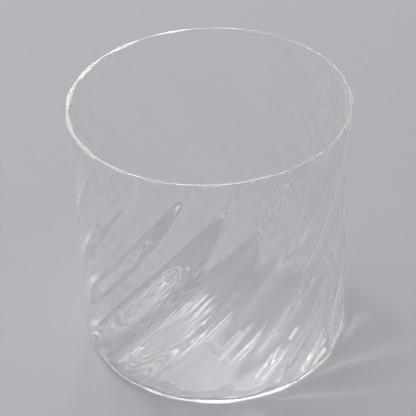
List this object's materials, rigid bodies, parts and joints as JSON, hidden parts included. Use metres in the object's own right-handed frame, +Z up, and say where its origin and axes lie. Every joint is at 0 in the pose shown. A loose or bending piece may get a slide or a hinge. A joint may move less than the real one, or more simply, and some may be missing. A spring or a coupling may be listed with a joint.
{
  "type": "glass cup",
  "caption": "Clear hand-blown glass tumbler: near-straight round wall with swirled optic ribs, fire-polished wavy rim, thin pushed-up base on a flat foot ring, for holding a drink.",
  "frame": {"origin": "middle of the foot, on the plane of the table that the cup stands on", "axes": "+Z up along the cup's axis; -Y is the side that faces the picture's camera"},
  "size_m": [0.0812, 0.0811, 0.081],
  "materials": {
    "glass": "clear, fire-polished, with faint hand-blown ripples"
  },
  "bodies": {
    "root": {"base": "glass", "wall": "glass", "rim": "glass"}
  },
  "joints": []
}
